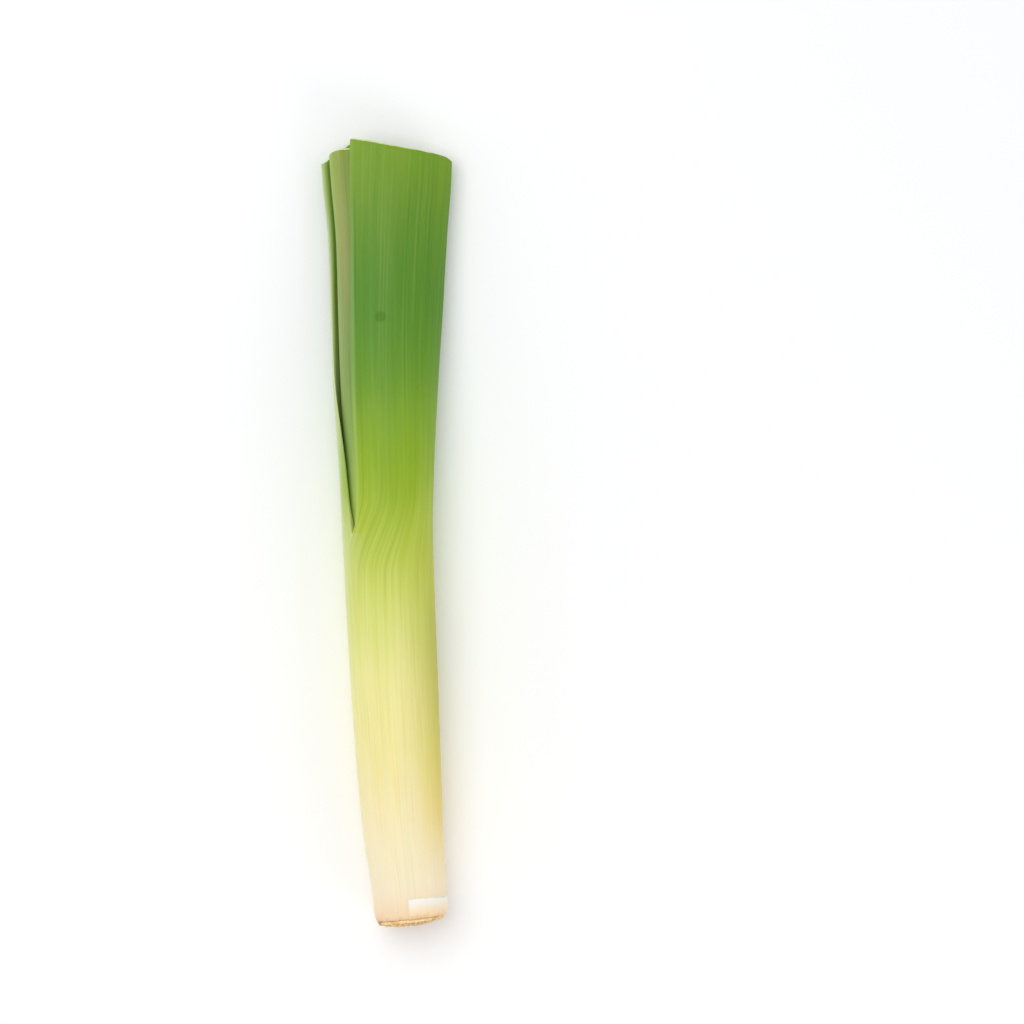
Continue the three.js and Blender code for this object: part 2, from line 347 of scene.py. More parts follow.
def reach_at(angle, section):
    """Distance from the section's centre to its tangent at an angle."""
    _, half_width, half_depth, fold = section
    sine, cosine = abs(math.sin(angle)), abs(math.cos(angle))
    if sine < 1e-6:
        return half_width
    across = half_width * sine
    up = half_depth * (1 + fold) * cosine * sine ** fold
    area = half_width * half_depth * sine ** fold * (1 + fold * cosine * cosine)
    return area / math.hypot(across, up)


def surface_point(scale, angle, along, section):
    """Point in metres on the surface of the given scale, 1 being the leek's outside."""
    centre, half_width, half_depth, fold = section
    sine = math.sin(angle)
    rise = max(sine * abs(sine) ** fold, -FLAT_SHARE)
    t = max(0, 1 - along / ROUNDING_LENGTH)
    size = scale * (1 - ROUNDING_SHARE * t * t)
    offset = size * half_width * math.cos(angle)
    slant = ROOT_SLANT * offset * (1 - smoothstep(along, SLANT_FADE_START, SLANT_FADE_END))
    x = centre + offset
    y = along - ORIGIN_ALONG + slant
    z = max(half_depth * (FLAT_SHARE + size * rise), 0)
    return Vector((x, y, z)) * MM


def plate_top(radius):
    share = max(radius, PLATE_CONE_TOP_RADIUS) / PLATE_RADIUS
    return PLATE_SHOULDER + PLATE_CONE_HEIGHT * (1 - min(share, 1))


def angle_between(a, b):
    """Angle in degrees between two directions, from 0 to 180."""
    return abs((a - b + 180) % 360 - 180)


def noise_at(x, y, z):
    return noise.noise(Vector((x, y, z)))


def bell(distance, width):
    return math.exp(-((distance / width) ** 2))


def top_cut(height, slope, scale, keel, degrees):
    """Distance along at which a leaf is cut off."""
    centre, half_width, _, _ = section_at(TOP_SECTION_ALONG)
    x = centre + scale * half_width * math.cos(math.radians(degrees)) - TOP_PEAK_X
    dip = KEEL_DIP * bell(angle_between(degrees, keel), KEEL_DIP_ANGLE)
    return TOP_PEAK_ALONG + height - dip - (-slope if x < 0 else TOP_SLOPE_RIGHT) * x


def swell_at(angle, along):
    """Share by which all leaves swell together, so that the leek isn't a perfect solid of rules."""
    x, y = math.cos(angle) * SWELL_ROUND, math.sin(angle) * SWELL_ROUND
    fan = smoothstep(along, FOLD_START, FOLD_END)
    return noise_at(x, y, along / SWELL_LENGTH) * lerp(*SWELL_SHARES, fan)


def put_in_scene(bm, name, node, materials):
    """Finishes a mesh as a piece that stands for a node and rides on the root body."""
    mesh = bpy.data.meshes.new(name)
    bm.to_mesh(mesh)
    bm.free()
    for material in materials:
        mesh.materials.append(material)
    piece = bpy.data.objects.new(name, mesh)
    bpy.context.scene.collection.objects.link(piece)
    mesh.polygons.foreach_set("use_smooth", [True] * len(mesh.polygons))
    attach(piece, "root")
    if node:
        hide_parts(node)
    return piece


class Shader:
    """Nodes of one material, each made by a short call."""

    def __init__(self, name):
        self.material = bpy.data.materials.new(name)
        self.material.use_nodes = True
        self.tree = self.material.node_tree
        self.tree.nodes.clear()
        self.output = self.tree.nodes.new("ShaderNodeOutputMaterial")

    def put(self, socket, value):
        if isinstance(value, bpy.types.NodeSocket):
            self.tree.links.new(value, socket)
        elif value is not None:
            if socket.type == "RGBA" and len(value) == 3:
                value = (*value, 1)
            socket.default_value = value

    def node(self, kind, values, out=0, **settings):
        made = self.tree.nodes.new(kind)
        for key, setting in settings.items():
            setattr(made, key, setting)
        for key, value in values.items():
            self.put(made.inputs[key], value)
        return made.outputs[out]

    def maths(self, operation, a, b=None, c=None):
        return self.node("ShaderNodeMath", {0: a, 1: b, 2: c}, operation=operation)

    def times(self, a, b):
        return self.maths("MULTIPLY", a, b)

    def line(self, value, rise, start):
        return self.maths("MULTIPLY_ADD", value, rise, start)

    def grain(self):
        """Share across the leaf and share along the leek, from the piece's own UV map."""
        uv = self.node("ShaderNodeUVMap", {}, uv_map="grain_map")
        across, along, _ = self.split(uv)
        return across, along

    def place(self):
        return self.node("ShaderNodeTexCoord", {}, out=3)

    def split(self, vector):
        made = self.tree.nodes.new("ShaderNodeSeparateXYZ")
        self.put(made.inputs[0], vector)
        return made.outputs[0], made.outputs[1], made.outputs[2]

    def vector(self, x, y, z=0.0):
        return self.node("ShaderNodeCombineXYZ", {0: x, 1: y, 2: z})

    def cloud(self, vector, scale, detail=3.0, rough=0.55, warp=0.0):
        values = {"Vector": vector, "Scale": scale, "Detail": detail, "Roughness": rough, "Distortion": warp}
        return self.node("ShaderNodeTexNoise", values)

    def step(self, value, low, high, to_low=0.0, to_high=1.0):
        values = {0: value, 1: low, 2: high, 3: to_low, 4: to_high}
        return self.node("ShaderNodeMapRange", values, interpolation_type="SMOOTHSTEP")

    def ramp(self, value, stops):
        made = self.tree.nodes.new("ShaderNodeValToRGB")
        self.put(made.inputs[0], value)
        made.color_ramp.interpolation = "CARDINAL"
        elements = made.color_ramp.elements
        elements[0].position, elements[1].position = stops[0][0], stops[-1][0]
        elements[0].color, elements[1].color = (*shade(stops[0][1]), 1), (*shade(stops[-1][1]), 1)
        for position, code in stops[1:-1]:
            elements.new(position).color = (*shade(code), 1)
        return made.outputs[0]

    def mix(self, factor, a, b, blend="MIX"):
        made = self.tree.nodes.new("ShaderNodeMix")
        made.data_type, made.blend_type = "RGBA", blend
        self.put(made.inputs[0], factor)
        self.put(made.inputs[6], a)
        self.put(made.inputs[7], b)
        return made.outputs[2]

    def tinge(self, share, colour, tone):
        """Colour with a tone multiplied into it by a share."""
        return self.mix(share, colour, self.mix(1.0, colour, tone, "MULTIPLY"))

    def bump(self, height, distance, strength=1.0):
        return self.node("ShaderNodeBump", {"Height": height, "Distance": distance, "Strength": strength})

    def surface(self, **values):
        made = self.tree.nodes.new("ShaderNodeBsdfPrincipled")
        made.subsurface_method = "RANDOM_WALK"
        for key, value in values.items():
            self.put(made.inputs[key.replace("_", " ")], value)
        self.tree.links.new(made.outputs[0], self.output.inputs[0])
        return self.material


# Colour along the leek, from the root end to the cut.
OUTER_TONES = [
    (0.0, "F8DFBD"), (0.06, "FAEACA"), (0.2, "F5E7A8"), (0.33, "E9E596"), (0.44, "CCD468"),
    (0.54, "A1BA35"), (0.66, "7CA32C"), (0.76, "5F902A"), (0.88, "66922B"), (1.0, "7CA02C"),
]
SECOND_TONES = [
    (0.0, "F6E6C6"), (0.3, "ECE69C"), (0.5, "C4D36C"), (0.6, "9BB660"), (0.75, "8EA45F"),
    (0.9, "9DAF5E"), (0.97, "9BB052"), (1.0, "A9BD53"),
]
# Tones of the torn sheath: peach at its base, then near white over its top, which is a painted glint.
TORN_AND_GLINT_TONES = [
    (0.0, "FFDAA8"), (0.018, "FFE8C8"), (0.026, "FFF6E6"), (0.03, "FFFDF8"), (1.0, "FFFDF8"),
]
PALE_TONES = [(0.0, "F6E6C6"), (0.3, "F2E8A8"), (0.45, "DCE07E")]
# The lining turns a darker green than the inner leaves towards the cut: painted shade of the gap between the
# outer leaf and the second leaf.
LINING_AND_SHADE_TONES = [*PALE_TONES, (0.58, "AFC655"), (0.75, "7B9C38"), (1.0, "84A640")]
INNER_TONES = [*PALE_TONES, (0.58, "B4CB55"), (0.75, "93B544"), (1.0, "8FB048")]

# Painted shade down the sheath's right side: deeper yellow green tones along the leek.
RIGHT_SIDE_SHADE_TONES = [
    (0.06, "FAEEBC"), (0.12, "F6E8A6"), (0.2, "E6E296"), (0.34, "CFD07C"), (0.5, "EEF0A4"),
]

# Tints of the strips, from bluer to yellower, and tones laid over the skin.
STRIP_TINTS = [(0.3, "D6F0BE"), (0.5, "FFFFFF"), (0.7, "FFF2B4")]
# Painted highlight down the sheath's left side.
LEFT_SIDE_HIGHLIGHT_TONE = "EAF0C2"
SHEATH_FURROW_TONE = "EAD0A2"
BLADE_FURROW_TONE = "BFC894"
VEIN_TONE = "E9ECB8"
THREAD_TONE = "C8CF9A"
# Painted highlight along the keel, and painted shade on the blade away from it.
KEEL_HIGHLIGHT_TONE = "C6D795"
BLADE_SHADE_TONE = "D3DEC6"
SECOND_CAST = "A99E70"
# Pale margin tone, which is also painted highlight on the lining's edge.
MARGIN_AND_HIGHLIGHT_TONE = "E2ECB8"
CREASE_TONE = "E6E9B4"
SPOT_TONE = "D3E679"
DRY_TONE = "F6C692"
FRINGE_TONE = "DAA264"

# Tones of the root plate and its stubs, from furrows to ridges, of flecks and side, of the painted shade
# between the stubs, and of the clouds in cut flesh.
ROOT_TONES = [(0.28, "CC985E"), (0.4, "F0C080"), (0.55, "FFDFA8"), (0.74, "FFEFCF")]
ROOT_FLECK_TONE = "A06C3A"
ROOT_SIDE_TONE = "B8A890"
ROOT_STUB_SHADE_TONE = "A87C50"
FLESH_TINT = "9DB84E"

Look = collections.namedtuple(
    "Look", "tones seed keel keel_share cast cast_share edge_width edge_low edge_high glow"
)

# Looks of the leaves: tones along, seed of the veins, keel and the share of painted highlight and shade about
# it, brownish cast, width and shares of the pale edge on the low and the high margin, and how many metres
# light goes in.
LOOKS = {
    "outer_leaf_skin": Look(OUTER_TONES, 1.0, OUTER_KEEL, 0.0, "A9B45C", 0.2, 0.012, 0.8, 0.12, 0.0014),
    "outer_leaf_lining": Look(LINING_AND_SHADE_TONES, 7.0, OUTER_KEEL, 0.0, "A9B45C", 0.1, 0.045, 1.0, 1.0, 0.0014),
    "second_leaf_skin": Look(SECOND_TONES, 13.0, INNER_KEEL, 1.0, SECOND_CAST, 0.36, 0.01, 0.4, 0.4, 0.0014),
    "inner_leaf_skin": Look(INNER_TONES, 21.0, INNER_KEEL, 0.6, "C2BE80", 0.15, 0.01, 0.4, 0.4, 0.0014),
    "heart_leaf_skin": Look(INNER_TONES, 33.0, INNER_KEEL, 0.0, "D5D690", 0.1, 0.01, 0.0, 0.0, 0.0014),
    "torn_sheath_skin": Look(TORN_AND_GLINT_TONES, 41.0, OUTER_KEEL, 0.0, "E8D3B0", 0.0, 0.01, 0.0, 0.0, 0.0003),
}


def leaf_skin(name, cast=None):
    """Waxy leaf skin: cream to green along the leek, with uneven parallel veins."""
    look = LOOKS[name]
    s = Shader(name)
    across, along = s.grain()
    fan = s.times(s.step(along, *FAN_ALONG), s.step(across, *FAN_ACROSS))
    flow = s.line(fan, FAN_TURN, across)

    def strips(wide, long, shift, detail=1.5):
        """Noise drawn out along the leaf: so many strips across it, and so many along it."""
        place = s.vector(s.times(flow, wide), s.times(along, long), look.seed + shift)
        return s.cloud(place, 1.0, detail)

    def apart(middle):
        """How far a point is from a share across the leaf."""
        return s.maths("ABSOLUTE", s.maths("SUBTRACT", across, middle))

    def band(middle, width):
        """Soft band along the leaf, strongest at a share across it."""
        return s.step(apart(middle), width, 0.0)

    broad, bands = strips(7.0, 3.0, 0.0), strips(46.0, 4.0, 1.7)
    veins, threads = strips(95.0, 3.0, 3.1, 1.0), strips(260.0, 9.0, 4.9)
    green = s.step(along, 0.35, 0.6)

    # The green runs down in strips, some bluer and some yellower than the rest.
    uneven = s.line(bands, 0.07, s.line(broad, 0.1, -0.085))
    reach = s.times(s.step(along, 0.0, 0.25), s.line(green, -0.15, 1.0))
    drawn = s.line(uneven, reach, along)
    colour = s.ramp(drawn, look.tones)
    colour = s.tinge(s.line(green, 0.1, 0.12), colour, s.ramp(bands, STRIP_TINTS))

    # Painted shade: the sheath is a deeper yellow green down its right side.
    shaft = s.times(s.step(along, 0.02, 0.16), s.step(along, 0.58, 0.46))
    colour = s.tinge(s.times(band(RIGHT_SHARE, 0.25), shaft), colour, s.ramp(along, RIGHT_SIDE_SHADE_TONES))
    # Painted highlight: the sheath is paler down its left side, which faces the light.
    left = s.step(along, 0.5, 0.76, LEFT_SHARE, 0.0)
    highlight_share = s.times(s.step(along, 0.3, 0.5, 0.35, 0.65), s.step(along, 0.82, 0.64))
    colour = s.mix(s.times(band(left, 0.1), highlight_share), colour, shade(LEFT_SIDE_HIGHLIGHT_TONE))

    # Veins: paler lines with darker furrows between them.
    at_mouth = s.times(s.step(along, 0.4, 0.48), s.step(along, 0.64, 0.54))
    at_mouth = s.times(at_mouth, s.step(across, 0.68, 0.9, 0.0, 0.1))
    depth = s.maths("ADD", s.line(green, 0.08, 0.075), at_mouth)
    furrow = s.times(s.step(veins, 0.5, 0.68), depth)
    furrow_tone = s.mix(s.step(along, 0.08, 0.4), shade(SHEATH_FURROW_TONE), shade(BLADE_FURROW_TONE))
    colour = s.tinge(furrow, colour, furrow_tone)
    pale = s.times(s.step(veins, 0.46, 0.28), s.line(green, -0.05, 0.09))
    colour = s.mix(pale, colour, shade(VEIN_TONE))
    fine = s.times(s.step(threads, 0.5, 0.72), s.maths("ADD", at_mouth, 0.16))
    colour = s.tinge(fine, colour, shade(THREAD_TONE))

    # Painted highlight: the keel is paler than the blade. Painted shade: the blade darkens away from the
    # keel, towards the outer leaf's margin.
    blade = s.times(s.step(along, 0.56, 0.7), look.keel_share)
    colour = s.mix(s.times(band(look.keel, 0.1), s.times(blade, 0.5)), colour, shade(KEEL_HIGHLIGHT_TONE))
    colour = s.tinge(s.times(s.step(apart(look.keel), 0.06, 0.2), blade), colour, shade(BLADE_SHADE_TONE))

    # Brownish cast in long patches on the green above the mouth.
    cast_place = s.step(along, 0.75, 0.95, look.keel - 0.19, look.keel - 0.09)
    cast_patch = s.times(band(cast_place, 0.15), s.step(along, 0.66, 0.84))
    cast_patch = s.times(s.times(cast_patch, look.cast_share), s.step(bands, 0.3, 0.6))
    colour = s.mix(cast_patch, colour, cast or shade(look.cast))

    # Pale margins above the mouth, the low one most towards the cut, and the crease below it. The margins are
    # the leaf's own pale tissue; on the lining the edge is wide and full, painted light on the strip that
    # lies in shade.
    margin = s.times(s.step(apart(0.5), 0.5 - look.edge_width, 0.5), s.step(along, 0.49, 0.53))
    margin = s.times(margin, s.step(along, 0.95, 0.75, 0.6, 1.0))
    low_share = s.step(along, 0.6, 0.74, look.edge_high, look.edge_low)
    margin = s.times(margin, s.step(across, 0.3, 0.7, low_share, look.edge_high))
    colour = s.mix(margin, colour, shade(MARGIN_AND_HIGHLIGHT_TONE))
    ridge = s.node("ShaderNodeAttribute", {}, out=2, attribute_name="ridge")
    colour = s.mix(s.times(ridge, 0.55), colour, shade(CREASE_TONE))

    # Soft rubbed spot of deeper green.
    away = s.node("ShaderNodeVectorMath", {0: s.place(), 1: SPOT_PLACE}, out=1, operation="DISTANCE")
    spot = s.times(s.step(away, SPOT_RADIUS, SPOT_RADIUS * 0.6), 0.85)
    colour = s.tinge(spot, colour, shade(SPOT_TONE))

    # Dry tan tissue where the sheath was cut from its roots.
    frayed = s.line(s.maths("SUBTRACT", threads, 0.5), 0.02, along)
    colour = s.mix(s.times(s.step(frayed, 0.05, 0.012), 0.3), colour, shade(DRY_TONE))
    fringe = s.times(s.step(frayed, 0.017, 0.0125), s.step(bands, 0.35, 0.6, 0.05, 0.5))
    colour = s.mix(fringe, colour, shade(FRINGE_TONE))

    height = s.line(threads, -0.5, s.times(veins, -1.0))
    return s.surface(
        Base_Color=colour,
        Roughness=s.line(threads, 0.16, 0.42),
        Normal=s.bump(height, 0.00008, 0.8),
        Specular_IOR_Level=0.22,
        Subsurface_Weight=0.25,
        Subsurface_Radius=(1.0, 0.85, 0.35),
        Subsurface_Scale=look.glow,
    )


def cut_flesh(name, tone, dot_tone):
    """Moist cut edge of a leaf, with the pale ends of its veins."""
    s = Shader(name)
    place = s.place()
    dots = s.node("ShaderNodeTexVoronoi", {"Vector": place, "Scale": 1100.0})
    soft = s.cloud(place, 420.0, 2.0)
    colour = s.mix(s.step(soft, 0.35, 0.7), shade(tone), s.mix(0.35, shade(tone), shade(FLESH_TINT)))
    colour = s.mix(s.step(dots, 0.42, 0.18), colour, shade(dot_tone))
    return s.surface(
        Base_Color=colour,
        Roughness=0.3,
        Normal=s.bump(soft, 0.00006),
        Subsurface_Weight=0.4,
        Subsurface_Radius=(1.0, 0.9, 0.4),
        Subsurface_Scale=0.0016,
    )


def root_tissue(name, stub_shade_share):
    """Dry tan tissue of the root plate, with darker fibres and flecks, and painted shade on the plate between
    its stubs.
    """
    s = Shader(name)
    place = s.place()
    coarse = s.cloud(place, 320.0, 4.0, 0.65, 0.6)
    fine = s.cloud(place, 1500.0, 3.0, 0.6)
    flecks = s.times(s.step(fine, 0.58, 0.7), 0.7)
    colour = s.mix(flecks, s.ramp(coarse, ROOT_TONES), shade(ROOT_FLECK_TONE))
    x, _, z = s.split(place)
    colour = s.tinge(s.step(x, -0.0085, -0.0115, 0.0, 0.5), colour, shade(ROOT_SIDE_TONE))
    # Painted shade on the plate's face between the stubs; the stubs themselves get none.
    from_middle = {0: s.vector(x, 0.0, z), 1: (0.0, 0.0, PLATE_HEIGHT)}
    radius = s.node("ShaderNodeVectorMath", from_middle, out=1, operation="DISTANCE")
    colour = s.tinge(s.step(radius, 0.0108, 0.0096, 0.0, stub_shade_share), colour, shade(ROOT_STUB_SHADE_TONE))
    height = s.maths("ADD", coarse, s.times(fine, 0.5))
    return s.surface(
        Base_Color=colour,
        Roughness=0.75,
        Normal=s.bump(height, 0.0003),
        Subsurface_Weight=0.15,
        Subsurface_Radius=(1.0, 0.6, 0.3),
        Subsurface_Scale=0.001,
    )


def station_list(base, mouth, top_start):
    """Distances along of a leaf's rows, closer together at the root end and round the mouth."""
    ends = (base, ROOT_STRETCH, mouth - BELOW_MOUTH, mouth, mouth + ABOVE_MOUTH)
    rows = []
    for start, end, count in zip(ends, ends[1:], STRETCH_ROWS):
        rows += [lerp(start, end, i / count) for i in range(count)]
    rest = max(int((top_start - mouth - ABOVE_MOUTH) / BLADE_STEP), 2)
    rows += [lerp(mouth + ABOVE_MOUTH, top_start, i / rest) for i in range(rest + 1)]
    return rows


class Leaf:
    """Shape of one leaf: a closed sheath below its mouth, an open folded blade above it."""

    OUTSIDE, INSIDE, RIM = 0, 1, 2

    def __init__(self, index, sizes):
        name, mouth, mouth_angle, split, grain, cut, slope, columns, slot = LEAVES[index]
        self.name, self.slot, self.index, self.sizes = name, slot, index, sizes
        self.mouth, self.mouth_angle, self.split, self.grain = mouth, mouth_angle, split, grain
        self.cut, self.slope, self.columns = cut, slope, columns
        self.scale = 1 - LEAF_STEP * index
        self.keel = 0 if index % 2 == 0 else 180
        self.rows = station_list(plate_top(PLATE_RADIUS * self.scale) + LEAF_GAP, mouth, TOP_ROWS_START)
        self.last_row = len(self.rows) - 1 + CUT_ROWS

    def ends(self, openings, along):
        """Low and high angle at a distance along, from a list of openings above the mouth."""
        above = along - self.mouth
        low = self.mouth_angle + curve_at(openings, above, 1)
        return low, self.mouth_angle + 360 - curve_at(openings, above, 2)

    @functools.cache
    def margins(self, along):
        return self.ends(self.split, along)

    @functools.cache
    def grain_ends(self, along):
        return self.ends(self.grain, along)

    def vein_at(self, degrees, along):
        """Share across the leaf of the vein that runs through a point."""
        low, high = self.grain_ends(along)
        return (degrees - low) / (high - low)

    def place(self, across, row):
        """Distance along and angle in degrees of a grid point."""
        whole = len(self.rows) - 1
        if row <= whole:
            along = self.rows[row]
            return along, lerp(*self.margins(along), across)
        share = (row - whole) / CUT_ROWS
        top_angle = lerp(*self.margins(TOP_SECTION_ALONG), across)
        ragged = CUT_RAGGED * noise_at(across * CUT_WAVES, self.index * 3.7, 0.5)
        top = top_cut(self.cut, self.slope, self.scale, self.keel, top_angle) + ragged
        guide = lerp(TOP_ROWS_START, TOP_SECTION_ALONG, share)
        return lerp(TOP_ROWS_START, top, share), lerp(*self.margins(guide), across)

    def wall(self, degrees, along, reach):
        """Thickness of the leaf, which leaves a gap to the next one."""
        low, high = self.margins(along)
        opened = smoothstep(along, self.mouth, self.mouth + OPENING_LENGTH)
        fan = smoothstep(along, self.mouth - THINNING_BELOW, self.mouth + THINNING_ABOVE)
        keel_share = bell(angle_between(degrees, self.keel), KEEL_HALF_ANGLE)
        wall = lerp(SHEATH_WALL, BLADE_WALL + KEEL_WALL * keel_share, fan)
        from_margin = min(degrees - low, high - degrees)
        taper = lerp(MARGIN_WALL_SHARE, 1, smoothstep(from_margin, 0, MARGIN_TAPER_ANGLE))
        return min(wall * lerp(1, taper, opened), LEAF_STEP * reach - LEAF_GAP)

    def crease(self, degrees, along):
        """Strength of the crease that runs down from the outer leaf's mouth."""
        below = (self.mouth - along) / CREASE_LENGTH
        if self.index > 0 or not -CREASE_ABOVE < below < 1:
            return 0.0
        middle = self.mouth_angle + CREASE_TURN * max(below, 0)
        away = min(abs(degrees - middle), abs(degrees - 360 - middle))
        strength = bell(away, CREASE_WIDTH) * smoothstep(below, -CREASE_ABOVE, 0)
        return strength * (1 - smoothstep(below, CREASE_FULL, 1))

    def paleness(self, degrees, along):
        """Share of pale tissue: the crease, and a soft patch on the low side of the mouth."""
        below = (self.mouth - along) / CREASE_LENGTH
        if self.index > 0 or (below < 0 and degrees > self.mouth_angle + 180):
            return 0.0
        patch = bell(angle_between(degrees, self.mouth_angle + PATCH_TURN), PATCH_WIDTH)
        patch *= smoothstep(below, -PATCH_ABOVE, 0) * (1 - smoothstep(below, *PATCH_FADE))
        return max(self.crease(degrees, along), PATCH_SHARE * patch)

    def relief(self, degrees, along):
        """Height in millimetres of veins and soft waves on the outer skin."""
        share = self.vein_at(degrees, along)
        share += FAN_TURN * smoothstep(along / LENGTH, *FAN_ALONG) * smoothstep(share, *FAN_ACROSS)
        uneven = 0.5 + noise_at(share * VEIN_PATCHES, along / VEIN_PATCH_LENGTH, self.index * 2.3)
        vein = uneven * math.cos(2 * math.pi * self.sizes.vein_count * share)
        wave = noise_at(share * SOFT_WAVES, along / SOFT_WAVE_LENGTH, self.index * 5.1)
        fade = smoothstep(angle_between(degrees, -90), *UNDERSIDE_FADE) * smoothstep(along, *ROOT_FADE)
        height = self.sizes.vein_height / MM
        return fade * (height * vein + SOFT_WAVE_HEIGHT * wave) + CREASE_HEIGHT * self.crease(degrees, along)

    def skin_point(self, across, row, side):
        """Point on the outside or inside skin, and its distance along and angle."""
        along, degrees = self.place(across, row)
        section = section_at(along)
        angle = math.radians(degrees)
        reach = reach_at(angle, section)
        size = self.scale * (1 + swell_at(angle, along))
        if self.index == 0:
            lift = math.exp(-(self.margins(along)[1] - degrees) / MARGIN_LIFT_ANGLE)
            size += MARGIN_LIFT * lift * smoothstep(along, MARGIN_LIFT_START, MARGIN_LIFT_END)
        depth = along
        if side == self.INSIDE:
            wall = self.wall(degrees, along, reach)
            size -= wall / reach
            if row == 0:
                depth = plate_top(PLATE_RADIUS * size) + LEAF_GAP
            depth += CUT_SLANT * wall * smoothstep(row, self.last_row - 1, self.last_row)
        else:
            size += self.relief(degrees, along) / reach
            if row == 0:
                depth += BASE_RAGGED * noise_at(across * BASE_WAVES, self.index, 4.2)
        return surface_point(size, angle, depth, section), along, degrees

    def skin(self, bm, side):
        """One skin of the leaf as a grid, joined into a tube below the mouth."""
        grain, height = bm.verts.layers.float["grain"], bm.verts.layers.float["height"]
        ridge, base = bm.verts.layers.float["ridge"], bm.verts.layers.int["base"]
        grid = bmesh.ops.create_grid(bm, x_segments=self.columns, y_segments=self.last_row, size=0.5)
        for vert in grid["verts"]:
            across = vert.co.x + 0.5
            row = round((vert.co.y + 0.5) * self.last_row)
            closed = row < len(self.rows) and self.rows[row] <= self.mouth
            vert.co, along, degrees = self.skin_point(across % 1 if closed else across, row, side)
            vert[grain] = self.vein_at(degrees, along)
            vert[height] = along / LENGTH
            vert[ridge] = self.paleness(degrees, along)
            vert[base] = 1 if row == 0 else 2 * int(row == self.last_row)
        for face in {face for vert in grid["verts"] for face in vert.link_faces}:
            face.material_index = side

    def mesh(self):
        """The leaf as a closed solid: two skins, with rims at the base, the margins and the cut."""
        bm = bmesh.new()
        for name in ("grain", "height", "ridge"):
            bm.verts.layers.float.new(name)
        base = bm.verts.layers.int.new("base")
        for side in (self.OUTSIDE, self.INSIDE):
            self.skin(bm, side)
        bmesh.ops.remove_doubles(bm, verts=bm.verts, dist=SAME_POINT)
        borders = [edge for edge in bm.edges if edge.is_boundary]
        at_base = [edge for edge in borders if all(vert[base] == 1 for vert in edge.verts)]
        around = [edge for edge in borders if edge not in at_base]
        for loops in (at_base, around):
            for face in bmesh.ops.bridge_loops(bm, edges=loops)["faces"]:
                at_cut = all(vert[base] == 2 for vert in face.verts)
                face.material_index = self.RIM if at_cut else self.OUTSIDE
        bmesh.ops.recalc_face_normals(bm, faces=bm.faces)
        rims = [edge for edge in borders if edge.is_valid]
        bmesh.ops.bevel(
            bm, geom=rims, offset=RIM_ROUNDING * MM, segments=2, profile=0.5, affect="EDGES", material=-1
        )
        map_grain(bm)
        return bm


def map_grain(bm):
    """UV map of veins and height from the vertices, without a jump where the leaf's tube closes."""
    uv = bm.loops.layers.uv.new("grain_map")
    grain, height = bm.verts.layers.float["grain"], bm.verts.layers.float["height"]
    for face in bm.faces:
        most = max(vert[grain] for vert in face.verts)
        for loop in face.loops:
            share = loop.vert[grain]
            loop[uv].uv = (share + 1 if most - share > 0.5 else share, loop.vert[height])


def add_leaf(index, skin, lining, flesh, sizes):
    leaf = Leaf(index, sizes)
    return put_in_scene(leaf.mesh(), "leek_" + leaf.name, leaf.name, [skin, lining, flesh])


def torn_sheath_mesh(sizes):
    """Thin remnant of a peeled leaf round the right side of the root end, with a ragged top."""
    leaf = Leaf(0, sizes)
    bm = bmesh.new()
    grain, height = bm.verts.layers.float.new("grain"), bm.verts.layers.float.new("height")
    bmesh.ops.create_grid(bm, x_segments=TORN_GRID[0], y_segments=TORN_GRID[1], size=0.5)
    last = -TORN_ANGLES[0]
    for vert in bm.verts:
        degrees = lerp(*TORN_ANGLES, vert.co.x + 0.5)
        share = vert.co.y + 0.5
        angle = math.radians(degrees)
        ragged = noise_at(degrees / TORN_RAGGED_TURN, 3.3, 0)
        ragged += TORN_FRAYED_SHARE * noise_at(degrees / TORN_FRAYED_TURN, 7.1, 0)
        drop = TORN_SLOPE * math.cos(angle) + TORN_DROP * smoothstep(-degrees, last - TORN_DROP_TURN, last)
        top = TORN_TOP + TORN_RAGGED * ragged - drop
        base_ragged = TORN_BASE_RAGGED * noise_at(degrees / TORN_BASE_TURN, 0, 9)
        along = lerp(PLATE_SHOULDER + TORN_BASE + base_ragged, top, share)
        section = section_at(along)
        proud = TORN_PROUD * (1 - TORN_THINNING * share)
        size = 1 + swell_at(angle, along) + proud / reach_at(angle, section)
        vert.co = surface_point(size, angle, along, section)
        vert[grain], vert[height] = leaf.vein_at(degrees, along), along / LENGTH
    bmesh.ops.recalc_face_normals(bm, faces=bm.faces)
    inward = [f for f in bm.faces if f.normal.dot(f.calc_center_median() - AXIS_POINT) < 0]
    bmesh.ops.reverse_faces(bm, faces=inward)
    map_grain(bm)
    return bm


class LeekSizes(bpy.types.PropertyGroup):
    vein_count: bpy.props.IntProperty(
        name="Veins", description="Number of main veins across a leaf", default=64, min=16, max=120
    )
    vein_height: bpy.props.FloatProperty(
        name="Vein height", description="Height of a vein over the leaf",
        default=0.00004, unit="LENGTH", precision=5,
    )
    root_stubs: bpy.props.IntProperty(
        name="Root stubs", description="Number of trimmed roots under the plate", default=240, min=0, max=400
    )


class LeekColours(bpy.types.PropertyGroup):
    cast: bpy.props.FloatVectorProperty(
        name="Cast", description="Brownish cast of the second leaf",
        subtype="COLOR", default=shade(SECOND_CAST),
    )
    floor: bpy.props.FloatVectorProperty(
        name="Floor", description="Colour of the floor", subtype="COLOR", default=shade("FEFEFE")
    )


